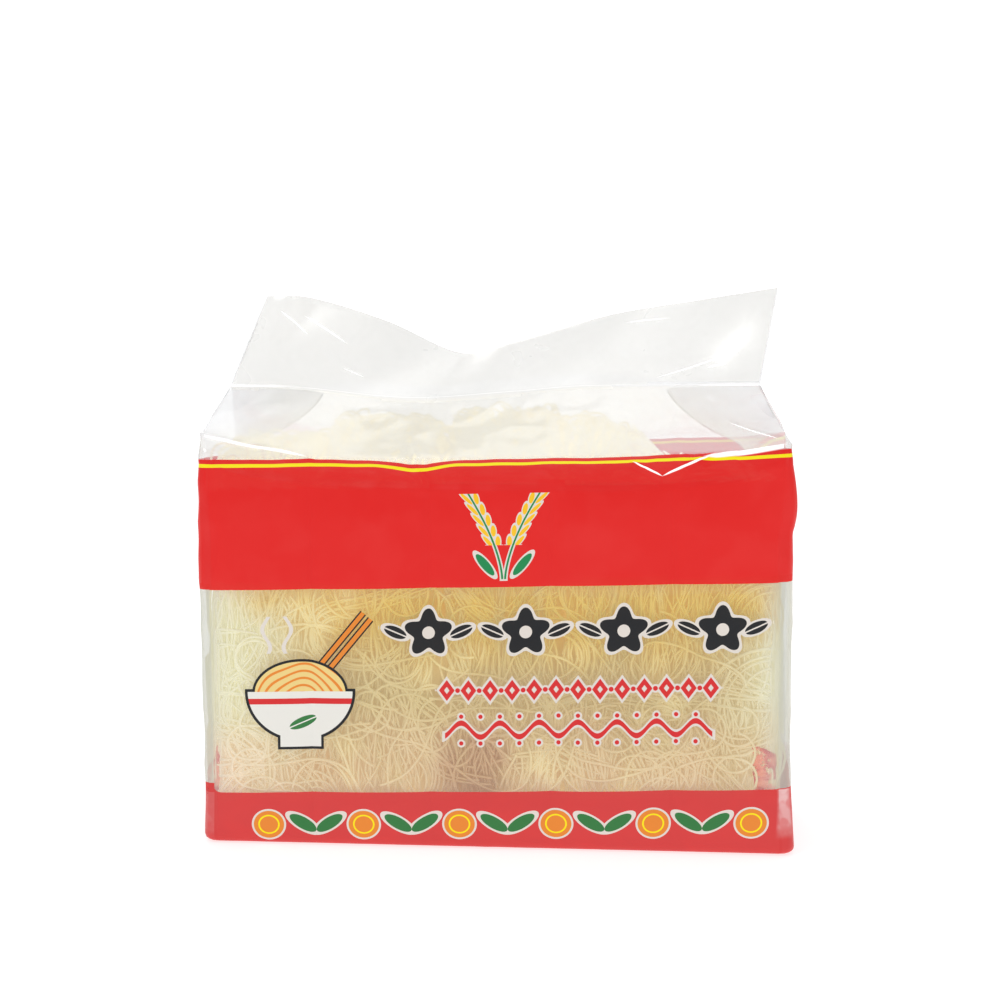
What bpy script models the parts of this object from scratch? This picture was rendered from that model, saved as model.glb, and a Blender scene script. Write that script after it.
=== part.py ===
"""A sealed block-bottom bag of dried rice vermicelli, standing on its base.

The bag is one piece of film that is filled tight, so it is modelled as one closed solid: a body with
a flat base, two sloping shoulders whose side gussets fold in, and the flat sealed fin on top. Rings
of points are worked out level by level from the sizes below and lofted into one surface.
Metres, +Z up, +X to the right of the front, the front facing -Y.
"""

import math

import bmesh
import bpy

# Body
DEPTH = 0.0852               # between the flat parts of front and back
CORNER_RADIUS = 0.005
BASE_RADIUS = 0.003
BODY_ROUNDNESS = 0.12        # corner radius as a share of half the depth, in the body
FOLD_ROUNDNESS = 0.04        # and near the fold line, where the corners are creased
SHOULDER_HEIGHT = 0.168      # crease between face and shoulder, at the bag's corners
SHOULDER_SAG = 0.009         # how much lower that crease is between the corners
CREASE_REACH = 0.007         # length of the rounded crease on either side
LEFT_EDGE = ((0.000, -0.1215), (0.040, -0.1212), (0.100, -0.1222), (0.168, -0.1236))     # z, x
RIGHT_EDGE = ((0.000, 0.1250), (0.035, 0.1230), (0.105, 0.1227), (0.168, 0.1236))

# Folded bundles of noodles that press on the film from inside
BUNDLES = 5
BUNDLE_PITCH = 0.0495
BUNDLE_SWELL = 0.0022
FACE_CROWN = 0.0016

# Side gussets
TUCK_START = 0.105           # height where the gusset begins to fold in
TUCK_AT_SHOULDER = 0.018
TUCK_AT_FOLD = 0.040
BULGE_HEIGHT = 0.147         # a fold of the right gusset that stands out beside the front
BULGE_HALF = 0.014
BULGE_OUT = 0.0032

# Fold line at the foot of the fin, and the fin
FOLD_LINE = (                # x, z
    (-0.1155, 0.1887),
    (-0.0880, 0.1880),
    (-0.0400, 0.1830),
    (0.0050, 0.1860),
    (0.0350, 0.1888),
    (0.1092, 0.1905),
)
FOLD_BACK = (                # x, y
    (-0.1155, -0.0010),
    (-0.0880, 0.0010),
    (-0.0350, 0.0090),
    (0.0300, 0.0060),
    (0.0700, 0.0010),
    (0.1092, -0.0020),
)
FIN_TOP = (                  # x, z of the cut edge, which bends back and down in the middle
    (-0.1004, 0.2267),
    (-0.0850, 0.2263),
    (-0.0530, 0.2156),
    (-0.0220, 0.2008),
    (0.0000, 0.2050),
    (0.0460, 0.2183),
    (0.0820, 0.2247),
    (0.1162, 0.2308),
)
FIN_LENGTH_LEFT = 0.0386
FIN_LENGTH_RIGHT = 0.0408
FIN_THICKNESS = 0.0012
FIN_ROUNDNESS = 0.98
FIN_RIPPLE = 0.0012
RIPPLE_LENGTH = 0.058

# Fineness of the loft
COLUMNS_PER_BUNDLE = 6
CORNER_STEPS = 3
HALF_SIDE_STEPS = 4
BASE_STEPS = 2
BODY_STEPS = 14
CREASE_STEPS = 3
SHOULDER_LEVELS = (0.2, 0.4, 0.6, 0.78, 0.9, 0.96)
FIN_LEVELS = (0.0, 0.2, 0.4, 0.6, 0.8, 1.0)

FILM_COLOUR = (0.86, 0.80, 0.66, 1.0)
FILM_ROUGHNESS = 0.18


def mix(a, b, amount):
    return a + (b - a) * amount


def eased(low, high, value):
    """0 below low, 1 above high, and a smooth rise between them."""
    amount = min(1.0, max(0.0, (value - low) / (high - low)))
    return amount * amount * (3.0 - 2.0 * amount)


def along(points, x):
    """Height at x of a smooth curve through a few points, level beyond both ends."""
    if x <= points[0][0]:
        return points[0][1]
    if x >= points[-1][0]:
        return points[-1][1]
    place = 1
    while points[place][0] < x:
        place += 1
    (x1, y1), (x2, y2) = points[place - 1], points[place]
    x0, y0 = points[max(place - 2, 0)]
    x3, y3 = points[min(place + 1, len(points) - 1)]
    slope1 = (y2 - y0) / (x2 - x0) * (x2 - x1)
    slope2 = (y3 - y1) / (x3 - x1) * (x2 - x1)
    t = (x - x1) / (x2 - x1)
    return (
        (2 * t**3 - 3 * t**2 + 1) * y1
        + (t**3 - 2 * t**2 + t) * slope1
        + (3 * t**2 - 2 * t**3) * y2
        + (t**3 - t**2) * slope2
    )


def ring_points():
    """The ring as (across, deep, angle): a place on a box of size 1, and which way its rounding looks.

    It starts in the middle of the left side and runs past the front, so that point k and point
    count - k face each other across the bag.
    """
    columns = BUNDLES * COLUMNS_PER_BUNDLE
    half = []
    for step in range(HALF_SIDE_STEPS):
        half.append((-1.0, -step / HALF_SIDE_STEPS, 180.0))
    for step in range(CORNER_STEPS):
        half.append((-1.0, -1.0, 180.0 + 90.0 * step / CORNER_STEPS))
    for step in range(columns + 1):
        half.append((2.0 * step / columns - 1.0, -1.0, 270.0))
    for step in range(1, CORNER_STEPS + 1):
        half.append((1.0, -1.0, 270.0 + 90.0 * step / CORNER_STEPS))
    for step in range(1, HALF_SIDE_STEPS + 1):
        half.append((1.0, step / HALF_SIDE_STEPS - 1.0, 360.0))
    behind = [(across, -deep, -angle) for across, deep, angle in reversed(half[1:-1])]
    return half + behind


def on_ring(point, left, right, half_depth, roundness, tuck=0.0):
    """Plan position of a ring point on a rounded box, its sides folded in by a V of depth tuck."""
    across, deep, angle = point
    radius = min(CORNER_RADIUS, roundness * half_depth)
    turn = math.radians(angle)
    middle = (left + right) / 2.0
    half_width = (right - left) / 2.0
    x = middle + across * (half_width - radius) + radius * math.cos(turn)
    y = deep * (half_depth - radius) + radius * math.sin(turn)
    if abs(across) == 1.0:
        x -= across * tuck * (1.0 - abs(y) / half_depth)
    return x, y


def swell(x, y, z, point):
    """How far the noodles push the front and the back out."""
    across, deep, _ = point
    if abs(deep) < 1.0 or abs(across) == 1.0:
        return 0.0
    rise = eased(0.0, 0.02, z) * (1.0 - eased(0.135, 0.165, z))
    pillow = abs(math.sin(math.pi * (x / BUNDLE_PITCH + BUNDLES / 2.0))) ** 0.6
    crown = 1.0 - across * across
    wave = 0.5 + 0.5 * math.sin(31.0 * x + 47.0 * z + 1.3 * deep)
    return deep * rise * (BUNDLE_SWELL * pillow * (0.7 + 0.3 * wave) + FACE_CROWN * crown)


def crease_height(x):
    spread = min(1.0, abs(x) / 0.122)
    return SHOULDER_HEIGHT - SHOULDER_SAG * (1.0 - spread**4)


def bulge(x, y, z):
    """The fold of the right gusset that stands out next to the front corner."""
    if x < 0.1:
        return 0.0
    high = max(0.0, 1.0 - ((z - BULGE_HEIGHT) / BULGE_HALF) ** 2)
    deep = max(0.0, 1.0 - ((y + 0.026) / 0.022) ** 2)
    return BULGE_OUT * high * deep


def base_ring(points, amount):
    """A ring of the rounded lower edge: amount 0 is the flat base, 1 the body."""
    turn = math.radians(90.0 * amount)
    inset = BASE_RADIUS * (1.0 - math.sin(turn))
    z = BASE_RADIUS * (1.0 - math.cos(turn))
    left = along(LEFT_EDGE, 0.0) + inset
    right = along(RIGHT_EDGE, 0.0) - inset
    ring = []
    for point in points:
        x, y = on_ring(point, left, right, DEPTH / 2.0 - inset, BODY_ROUNDNESS)
        ring.append((x, y, z))
    return ring


def body_ring(points, amount):
    """A ring of the upright faces, amount 0 to 1 from the base's edge to the foot of the crease."""
    ring = []
    for point in points:
        rough = 0.124 * point[0]
        z = mix(BASE_RADIUS, crease_height(rough) - CREASE_REACH, amount)
        tuck = TUCK_AT_SHOULDER * eased(TUCK_START, SHOULDER_HEIGHT, z)
        left, right = along(LEFT_EDGE, z), along(RIGHT_EDGE, z)
        x, y = on_ring(point, left, right, DEPTH / 2.0, BODY_ROUNDNESS, tuck)
        x += bulge(x, y, z)
        y += swell(x, y, z, point)
        ring.append((x, y, z))
    return ring


def shoulder_profile(x, amount):
    """Half depth and height along the shoulder, 0 at the crease, 1 at the fold line."""
    low = crease_height(x)
    half_depth = mix(DEPTH / 2.0, FIN_THICKNESS / 2.0, amount)
    return half_depth, mix(low, along(FOLD_LINE, x), amount)


def shoulder_place(point, amount, half_depth, z_of):
    left = mix(along(LEFT_EDGE, SHOULDER_HEIGHT), FOLD_LINE[0][0], amount)
    right = mix(along(RIGHT_EDGE, SHOULDER_HEIGHT), FOLD_LINE[-1][0], amount)
    closing = 1.0 - eased(SHOULDER_LEVELS[-1], 1.0, amount)
    tuck = mix(TUCK_AT_SHOULDER, TUCK_AT_FOLD, math.sin(amount * math.pi / 2.0)) * closing
    roundness = mix(BODY_ROUNDNESS, FOLD_ROUNDNESS, eased(0.0, 0.3, amount))
    x, y = on_ring(point, left, right, half_depth, roundness, tuck)
    y += amount * along(FOLD_BACK, x)
    return x, y, z_of(x)


def crease_ring(points, amount):
    """A ring of the rounded crease, a quadratic curve from the face over to the shoulder."""
    before = (1.0 - amount) ** 2
    middle = 2.0 * amount * (1.0 - amount)
    after = amount**2
    reach = CREASE_REACH / (DEPTH / 2.0)

    def height(x):
        low = crease_height(x)
        _, high = shoulder_profile(x, reach)
        return before * (low - CREASE_REACH) + middle * low + after * high

    deep, _ = shoulder_profile(0.0, reach)
    half_depth = (before + middle) * DEPTH / 2.0 + after * deep
    return [shoulder_place(point, after * reach, half_depth, height) for point in points]


def shoulder_ring(points, amount):
    ring = []
    for point in points:
        half_depth, _ = shoulder_profile(0.0, amount)
        ring.append(shoulder_place(point, amount, half_depth, lambda x: shoulder_profile(x, amount)[1]))
    return ring


def fin_ring(points, amount):
    """A ring of the fin, amount 0 to 1 from the fold line up to the cut edge."""
    half_depth = FIN_THICKNESS / 2.0
    ring = []
    for point in points:
        foot_x, thick = on_ring(point, FOLD_LINE[0][0], FOLD_LINE[-1][0], half_depth, FIN_ROUNDNESS)
        top_x, _ = on_ring(point, FIN_TOP[0][0], FIN_TOP[-1][0], half_depth, FIN_ROUNDNESS)
        share = (point[0] + 1.0) / 2.0
        length = mix(FIN_LENGTH_LEFT, FIN_LENGTH_RIGHT, share)
        foot_z = along(FOLD_LINE, foot_x)
        rise = min(1.0, (along(FIN_TOP, top_x) - foot_z) / length)
        lean = math.acos(rise)
        up = amount * length
        ripple = FIN_RIPPLE * amount * math.sin(2.0 * math.pi * foot_x / RIPPLE_LENGTH)
        x = mix(foot_x, top_x, amount)
        y = along(FOLD_BACK, foot_x) + math.sin(lean) * up + ripple + math.cos(lean) * thick
        z = foot_z + math.cos(lean) * up - math.sin(lean) * thick
        ring.append((x, y, z))
    return ring


def bag_rings():
    points = ring_points()
    rings = [base_ring(points, step / BASE_STEPS) for step in range(BASE_STEPS)]
    rings += [body_ring(points, step / BODY_STEPS) for step in range(BODY_STEPS)]
    rings += [crease_ring(points, step / CREASE_STEPS) for step in range(CREASE_STEPS + 1)]
    rings += [shoulder_ring(points, amount) for amount in SHOULDER_LEVELS]
    rings += [fin_ring(points, amount) for amount in FIN_LEVELS]
    return rings


def loft(mesh_name, rings):
    """Closed mesh through rings of equal count, with a flat base and the fin's edge closed by quads."""
    shape = bmesh.new()
    rows = [[shape.verts.new(place) for place in ring] for ring in rings]
    count = len(rows[0])
    for lower, upper in zip(rows, rows[1:]):
        for k in range(count):
            after = (k + 1) % count
            shape.faces.new((lower[k], lower[after], upper[after], upper[k]))
    shape.faces.new(list(reversed(rows[0])))
    top = rows[-1]
    for k in range(1, count // 2 - 1):
        shape.faces.new((top[k], top[k + 1], top[count - k - 1], top[count - k]))
    shape.faces.new((top[0], top[1], top[count - 1]))
    shape.faces.new((top[count // 2 - 1], top[count // 2], top[count // 2 + 1]))
    bmesh.ops.triangulate(shape, faces=shape.faces[:])
    bmesh.ops.recalc_face_normals(shape, faces=shape.faces[:])
    mesh = bpy.data.meshes.new(mesh_name)
    shape.to_mesh(mesh)
    shape.free()
    return mesh


def centred(rings):
    """The rings moved so that the origin lies under the middle of the bag's box."""
    xs = [x for ring in rings for x, _, _ in ring]
    ys = [y for ring in rings for _, y, _ in ring]
    middle_x = (min(xs) + max(xs)) / 2.0
    middle_y = (min(ys) + max(ys)) / 2.0
    return [[(x - middle_x, y - middle_y, z) for x, y, z in ring] for ring in rings]


def film_material():
    material = bpy.data.materials.new("film_and_noodles")
    material.use_nodes = True
    shader = material.node_tree.nodes["Principled BSDF"]
    shader.inputs["Base Color"].default_value = FILM_COLOUR
    shader.inputs["Roughness"].default_value = FILM_ROUGHNESS
    shader.inputs["Metallic"].default_value = 0.0
    return material


def main():
    for obj in list(bpy.data.objects):
        bpy.data.objects.remove(obj, do_unlink=True)
    collection = bpy.data.collections.new("rice_vermicelli_pack")
    bpy.context.scene.collection.children.link(collection)
    mesh = loft("sealed_bag", centred(bag_rings()))
    mesh.shade_smooth()
    mesh.set_sharp_from_angle(angle=math.radians(40.0))
    mesh.materials.append(film_material())
    collection.objects.link(bpy.data.objects.new("sealed_bag", mesh))


main()
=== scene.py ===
import math
import random

import bmesh
import bpy
from mathutils import Matrix, Vector, noise


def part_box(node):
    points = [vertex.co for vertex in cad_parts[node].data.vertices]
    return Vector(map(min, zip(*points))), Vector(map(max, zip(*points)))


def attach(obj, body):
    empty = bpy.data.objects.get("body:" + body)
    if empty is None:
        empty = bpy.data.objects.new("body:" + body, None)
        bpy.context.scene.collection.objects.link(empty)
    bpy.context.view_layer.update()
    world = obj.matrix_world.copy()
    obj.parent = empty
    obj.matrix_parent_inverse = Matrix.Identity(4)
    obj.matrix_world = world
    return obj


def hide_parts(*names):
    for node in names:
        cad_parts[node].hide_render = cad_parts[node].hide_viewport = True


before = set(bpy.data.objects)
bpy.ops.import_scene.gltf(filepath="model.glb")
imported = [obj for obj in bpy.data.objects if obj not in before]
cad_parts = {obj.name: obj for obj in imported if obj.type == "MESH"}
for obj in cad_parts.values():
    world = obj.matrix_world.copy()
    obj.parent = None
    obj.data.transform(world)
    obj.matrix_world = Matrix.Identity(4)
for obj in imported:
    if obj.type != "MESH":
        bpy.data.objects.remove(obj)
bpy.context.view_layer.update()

# A clear sealed bag of dried rice vermicelli: printed film outside, folded bundles of noodles inside
bagLow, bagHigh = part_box("sealed_bag")
mm = 0.001


# Small helpers

def mix(a, b, amount):
    return a + (b - a) * amount


def held(low, high, value):
    return max(low, min(high, value))


def eased(low, high, value):
    amount = held(0.0, 1.0, (value - low) / (high - low))
    return amount * amount * (3.0 - 2.0 * amount)


def along(points, x):        # height at x of a smooth curve through a few points, level beyond its ends
    if x <= points[0][0]:
        return points[0][1]
    if x >= points[-1][0]:
        return points[-1][1]
    place = 1
    while points[place][0] < x:
        place += 1
    (x1, y1), (x2, y2) = points[place - 1], points[place]
    x0, y0 = points[max(place - 2, 0)]
    x3, y3 = points[min(place + 1, len(points) - 1)]
    slope1 = (y2 - y0) / (x2 - x0) * (x2 - x1)
    slope2 = (y3 - y1) / (x3 - x1) * (x2 - x1)
    t = (x - x1) / (x2 - x1)
    return (
        (2 * t**3 - 3 * t**2 + 1) * y1
        + (t**3 - 2 * t**2 + t) * slope1
        + (3 * t**2 - 2 * t**3) * y2
        + (t**3 - t**2) * slope2
    )


def collectionFor(name):
    made = bpy.data.collections.new(name)
    bpy.context.scene.collection.children.link(made)
    return made


pieces = collectionFor("vermicelli_pack")
studio = collectionFor("studio")


def addObject(name, mesh, home=pieces):
    made = bpy.data.objects.new(name, mesh)
    home.objects.link(made)
    return made


# Shader sockets that take part in Python expressions

class Wire:
    def __init__(self, tree, end):
        self.tree = tree
        self.end = end

    def node(self, kind, settings=None, sockets=None, out=0):
        made = self.tree.nodes.new(kind)
        for name, value in (settings or {}).items():
            setattr(made, name, value)
        for name, value in (sockets or {}).items():
            if isinstance(value, Wire):
                self.tree.links.new(value.end, made.inputs[name])
            else:
                made.inputs[name].default_value = value
        return Wire(self.tree, made.outputs[out] if made.outputs else None)

    def maths(self, operation, *values):
        return self.node("ShaderNodeMath", {"operation": operation}, dict(enumerate(values)))

    def __add__(self, other):
        return self.maths("ADD", self, other)

    __radd__ = __add__

    def __sub__(self, other):
        return self.maths("SUBTRACT", self, other)

    def __rsub__(self, other):
        return self.maths("SUBTRACT", other, self)

    def __mul__(self, other):
        return self.maths("MULTIPLY", self, other)

    __rmul__ = __mul__

    def __truediv__(self, other):
        return self.maths("DIVIDE", self, other)

    def __pow__(self, other):
        return self.maths("POWER", self, other)

    def __lt__(self, other):
        return self.maths("LESS_THAN", self, other)

    def __gt__(self, other):
        return self.maths("GREATER_THAN", self, other)

    def size(self):
        return self.maths("ABSOLUTE", self)

    def sine(self):
        return self.maths("SINE", self)

    def either(self, other):
        return self.maths("MAXIMUM", self, other)

    def nearest(self, other):
        return self.maths("MINIMUM", self, other)

    def repeat(self, pitch):        # distance from the middle of the nearest cell, -pitch/2 to pitch/2
        return self.maths("FLOORED_MODULO", self + pitch / 2, pitch) - pitch / 2

    def rise(self, low, high):
        settings = {"interpolation_type": "SMOOTHSTEP"}
        return self.node("ShaderNodeMapRange", settings, {0: self, 1: low, 2: high, 3: 0.0, 4: 1.0})

    def blend(self, under, over):        # colours: under where this mask is 0, over where it is 1
        under, over = (c if isinstance(c, Wire) else (*c, 1.0) for c in (under, over))
        return self.node("ShaderNodeMix", {"data_type": "RGBA"}, {0: self, 6: under, 7: over}, 2)

    def noise(self, scale, detail=2.0, roughness=0.5, distortion=0.0):
        sockets = {"Vector": self, "Scale": scale, "Detail": detail,
                   "Roughness": roughness, "Distortion": distortion}
        return self.node("ShaderNodeTexNoise", None, sockets)

    def split(self):        # x, y and z of a vector
        first = self.node("ShaderNodeSeparateXYZ", None, {0: self})
        return [Wire(self.tree, end) for end in first.end.node.outputs]

    def bump(self, strength, distance):
        return self.node("ShaderNodeBump", None, {"Strength": strength, "Distance": distance, "Height": self})


def newFinish(name):        # an empty material, its node tree and the object's own coordinates
    made = bpy.data.materials.new(name)
    made.use_nodes = True
    made.node_tree.nodes.clear()
    w = Wire(made.node_tree, None)
    return made, w, w.node("ShaderNodeTexCoord", None, None, 3)


def closeFinish(w, sockets, cover=None, tint=(1.0, 1.0, 1.0)):        # clear where cover is below 1
    surface = w.node("ShaderNodeBsdfPrincipled", None, sockets)
    if cover:
        through = w.node("ShaderNodeBsdfTransparent", None, {"Color": (*tint, 1.0)})
        surface = w.node("ShaderNodeMixShader", None, {0: cover, 1: through, 2: surface})
    w.node("ShaderNodeOutputMaterial", None, {0: surface})


def meshFrom(shape, name):
    mesh = bpy.data.meshes.new(name)
    shape.to_mesh(mesh)
    shape.free()
    return mesh


# The bag's shape, as in the part's source

bagForm = {
    "depth": 0.0852,
    "cornerRadius": 0.005,
    "baseRadius": 0.003,
    "bodyRoundness": 0.12,
    "foldRoundness": 0.04,
    "shoulderHeight": 0.168,
    "shoulderSag": 0.009,
    "creaseReach": 0.007,
    "leftEdge": ((0.000, -0.1215), (0.040, -0.1212), (0.100, -0.1222), (0.168, -0.1236)),
    "rightEdge": ((0.000, 0.1250), (0.035, 0.1230), (0.105, 0.1227), (0.168, 0.1236)),
    "bundles": 5,
    "bundlePitch": 0.0495,
    "bundleSwell": 0.0022,
    "faceCrown": 0.0016,
    "tuckStart": 0.105,
    "tuckAtShoulder": 0.018,
    "tuckAtFold": 0.040,
    "tuckCloses": 0.96,
    "bulgeHeight": 0.147,
    "bulgeHalf": 0.014,
    "bulgeOut": 0.0032,
    "foldLine": ((-0.1155, 0.1887), (-0.0880, 0.1880), (-0.0400, 0.1830),
                 (0.0050, 0.1860), (0.0350, 0.1888), (0.1092, 0.1905)),
    "foldBack": ((-0.1155, -0.0010), (-0.0880, 0.0010), (-0.0350, 0.0090),
                 (0.0300, 0.0060), (0.0700, 0.0010), (0.1092, -0.0020)),
    "finTop": ((-0.1004, 0.2267), (-0.0850, 0.2263), (-0.0530, 0.2156), (-0.0220, 0.2008),
               (0.0000, 0.2050), (0.0460, 0.2183), (0.0820, 0.2247), (0.1162, 0.2308)),
    "finLengthLeft": 0.0386,
    "finLengthRight": 0.0408,
    "finThickness": 0.0012,
    "finRipple": 0.0012,
    "rippleLength": 0.058,
}
halfDeep = bagForm["depth"] / 2


def onRing(spot, left, right, halfDepth, roundness, tuck=0.0):
    across, deep, angle = spot
    radius = min(bagForm["cornerRadius"], roundness * halfDepth)
    turn = math.radians(angle)
    x = (left + right) / 2 + across * ((right - left) / 2 - radius) + radius * math.cos(turn)
    y = deep * (halfDepth - radius) + radius * math.sin(turn)
    if abs(across) == 1.0 and halfDepth > 0.0:
        x -= across * tuck * (1.0 - abs(y) / halfDepth)
    return x, y


def creaseHeight(x):
    spread = min(1.0, abs(x) / 0.122)
    return bagForm["shoulderHeight"] - bagForm["shoulderSag"] * (1.0 - spread**4)


def swell(x, z, spot):
    across, deep, _ = spot
    if abs(deep) < 1.0 or abs(across) == 1.0:
        return 0.0
    rise = eased(0.0, 0.02, z) * (1.0 - eased(0.135, 0.165, z))
    pillow = abs(math.sin(math.pi * (x / bagForm["bundlePitch"] + bagForm["bundles"] / 2))) ** 0.6
    wave = 0.5 + 0.5 * math.sin(31.0 * x + 47.0 * z + 1.3 * deep)
    crown = bagForm["faceCrown"] * (1.0 - across * across)
    return deep * rise * (bagForm["bundleSwell"] * pillow * (0.7 + 0.3 * wave) + crown)


def bulge(x, y, z):
    if x < 0.1:
        return 0.0
    high = max(0.0, 1.0 - ((z - bagForm["bulgeHeight"]) / bagForm["bulgeHalf"]) ** 2)
    deep = max(0.0, 1.0 - ((y + 0.026) / 0.022) ** 2)
    return bagForm["bulgeOut"] * high * deep


def underPlace(spot, amount):        # the folded underside, 0 at its middle seam
    inset = bagForm["baseRadius"]
    halfDepth = amount * (halfDeep - inset)
    back = (1.0 - amount) * (halfDeep - inset)
    left = bagForm["leftEdge"][0][1] + inset + back
    right = bagForm["rightEdge"][0][1] - inset - back
    x, y = onRing(spot, left, right, halfDepth, bagForm["bodyRoundness"])
    return x, y, 0.0006 * (1.0 - amount)


def edgePlace(spot, amount):
    turn = math.radians(90.0 * amount)
    inset = bagForm["baseRadius"] * (1.0 - math.sin(turn))
    left = bagForm["leftEdge"][0][1] + inset
    right = bagForm["rightEdge"][0][1] - inset
    x, y = onRing(spot, left, right, halfDeep - inset, bagForm["bodyRoundness"])
    return x, y, bagForm["baseRadius"] * (1.0 - math.cos(turn))


def tuckAt(z):
    return bagForm["tuckAtShoulder"] * eased(bagForm["tuckStart"], bagForm["shoulderHeight"], z)


def bodyPlace(spot, amount):
    z = mix(bagForm["baseRadius"], creaseHeight(0.124 * spot[0]) - bagForm["creaseReach"], amount)
    left, right = along(bagForm["leftEdge"], z), along(bagForm["rightEdge"], z)
    x, y = onRing(spot, left, right, halfDeep, bagForm["bodyRoundness"], tuckAt(z))
    x += bulge(x, y, z)
    y += swell(x, z, spot)
    return x, y, z


def shoulderProfile(x, amount):
    halfDepth = mix(halfDeep, bagForm["finThickness"] / 2, amount)
    return halfDepth, mix(creaseHeight(x), along(bagForm["foldLine"], x), amount)


def shoulderBase(spot, amount, halfDepth, heightAt):
    top = bagForm["shoulderHeight"]
    left = mix(along(bagForm["leftEdge"], top), bagForm["foldLine"][0][0], amount)
    right = mix(along(bagForm["rightEdge"], top), bagForm["foldLine"][-1][0], amount)
    closing = 1.0 - eased(bagForm["tuckCloses"], 1.0, amount)
    deepest = mix(bagForm["tuckAtShoulder"], bagForm["tuckAtFold"], math.sin(amount * math.pi / 2))
    roundness = mix(bagForm["bodyRoundness"], bagForm["foldRoundness"], eased(0.0, 0.3, amount))
    x, y = onRing(spot, left, right, halfDepth, roundness, deepest * closing)
    y += amount * along(bagForm["foldBack"], x)
    return x, y, heightAt(x)


def creasePlace(spot, amount):
    before, middle, after = (1.0 - amount) ** 2, 2.0 * amount * (1.0 - amount), amount**2
    reach = bagForm["creaseReach"] / halfDeep

    def heightAt(x):
        low = creaseHeight(x)
        high = shoulderProfile(x, reach)[1]
        return before * (low - bagForm["creaseReach"]) + middle * low + after * high

    deep = shoulderProfile(0.0, reach)[0]
    return shoulderBase(spot, after * reach, (before + middle) * halfDeep + after * deep, heightAt)


def shoulderPlace(spot, amount):
    halfDepth = shoulderProfile(0.0, amount)[0]
    return shoulderBase(spot, amount, halfDepth, lambda x: shoulderProfile(x, amount)[1])


def finPlace(spot, amount):
    foot, top = bagForm["foldLine"], bagForm["finTop"]
    halfDepth = mix(bagForm["finThickness"] / 2, 0.0002, eased(0.0, 0.3, amount))
    footX, thick = onRing(spot, foot[0][0], foot[-1][0], halfDepth, 0.98)
    topX, _ = onRing(spot, top[0][0], top[-1][0], halfDepth, 0.98)
    length = mix(bagForm["finLengthLeft"], bagForm["finLengthRight"], (spot[0] + 1.0) / 2)
    footZ = along(foot, footX)
    lean = math.acos(min(1.0, (along(top, topX) - footZ) / length))
    up = amount * length
    ripple = bagForm["finRipple"] * amount * math.sin(2 * math.pi * footX / bagForm["rippleLength"])
    y = along(bagForm["foldBack"], footX) + math.sin(lean) * up + ripple + math.cos(lean) * thick
    return mix(footX, topX, amount), y, footZ + math.cos(lean) * up - math.sin(lean) * thick


# The film

filmMake = {
    "columns": 196,         # across the front
    "cornerSteps": 3,
    "halfSideSteps": 26,
    "underRows": 14,
    "edgeRows": 3,
    "bodyRows": 92,
    "creaseRows": 6,
    "shoulderRows": 26,
    "finRows": 28,
    "printSlant": 0.027,    # the print runs up to the right
}


def ringSpots():
    columns, corner, side = filmMake["columns"], filmMake["cornerSteps"], filmMake["halfSideSteps"]
    half = [(-1.0, -step / side, 180.0) for step in range(side)]
    half += [(-1.0, -1.0, 180.0 + 90.0 * step / corner) for step in range(corner)]
    half += [(2.0 * step / columns - 1.0, -1.0, 270.0) for step in range(columns + 1)]
    half += [(1.0, -1.0, 270.0 + 90.0 * step / corner) for step in range(1, corner + 1)]
    half += [(1.0, step / side - 1.0, 360.0) for step in range(1, side + 1)]
    return half + [(across, -deep, -angle) for across, deep, angle in reversed(half[1:-1])]


def filmLevels():        # one (place function, amount) for each row of points, from the base's seam up
    rows = []
    spans = (
        (underPlace, "underRows"), (edgePlace, "edgeRows"), (bodyPlace, "bodyRows"),
        (creasePlace, "creaseRows"), (shoulderPlace, "shoulderRows"),
    )
    reach = bagForm["creaseReach"] / halfDeep
    for placeOf, name in spans:
        count = filmMake[name]
        first = reach if placeOf is shoulderPlace else 0.0
        rows += [(placeOf, mix(first, 1.0, step / count)) for step in range(count)]
    rows += [(finPlace, step / filmMake["finRows"]) for step in range(filmMake["finRows"] + 1)]
    return rows


# Sharp creases on the front: ends as (x, q) of the print in mm, depth, reach and half width of the white
# line, a painted glint that is partly stress whitening
frontCreases = (
    ((-126, 177.2), (-75, 165.4), 0.9, 2.4, 1.15),
    ((57, 161.6), (70, 154.2), 0.6, 2.0, 0.60),
    ((69, 154.2), (90, 163.6), 0.6, 1.8, 0.75),
    ((85, 162.6), (127, 166.8), 0.9, 2.6, 1.80),
    ((96, 184.0), (116.5, 171.0), 0.5, 1.8, 0.50),
    ((-35, 174.0), (-28, 154.0), 0.8, 3.5, 0.0),
    ((-112, 63.0), (-101, 41.0), 0.3, 1.8, 0.0),
    ((108, 107.0), (112, 58.0), 0.3, 1.8, 0.0),
)

# Gleams on the front of the fin: ends and half width
finGleams = (
    ((-95.0, 249.5), (-83.3, 238.5), 0.9),
    ((-85.8, 247.4), (-66.8, 237.2), 0.8),
    ((-69.0, 225.6), (-59.4, 223.7), 0.5),
    ((65.3, 214.4), (102.1, 225.6), 0.6),
    ((87.0, 218.4), (95.5, 219.8), 0.6),
    ((51.4, 247.1), (71.5, 245.3), 0.5),
)


def distanceToLine(x, q, start, end):
    dx, dq = end[0] - start[0], end[1] - start[1]
    share = held(0.0, 1.0, ((x - start[0]) * dx + (q - start[1]) * dq) / (dx * dx + dq * dq))
    return math.hypot(x - start[0] - share * dx, q - start[1] - share * dq)


def ridged(point):
    return 1.0 - abs(noise.noise(point)) * 2.0


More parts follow.
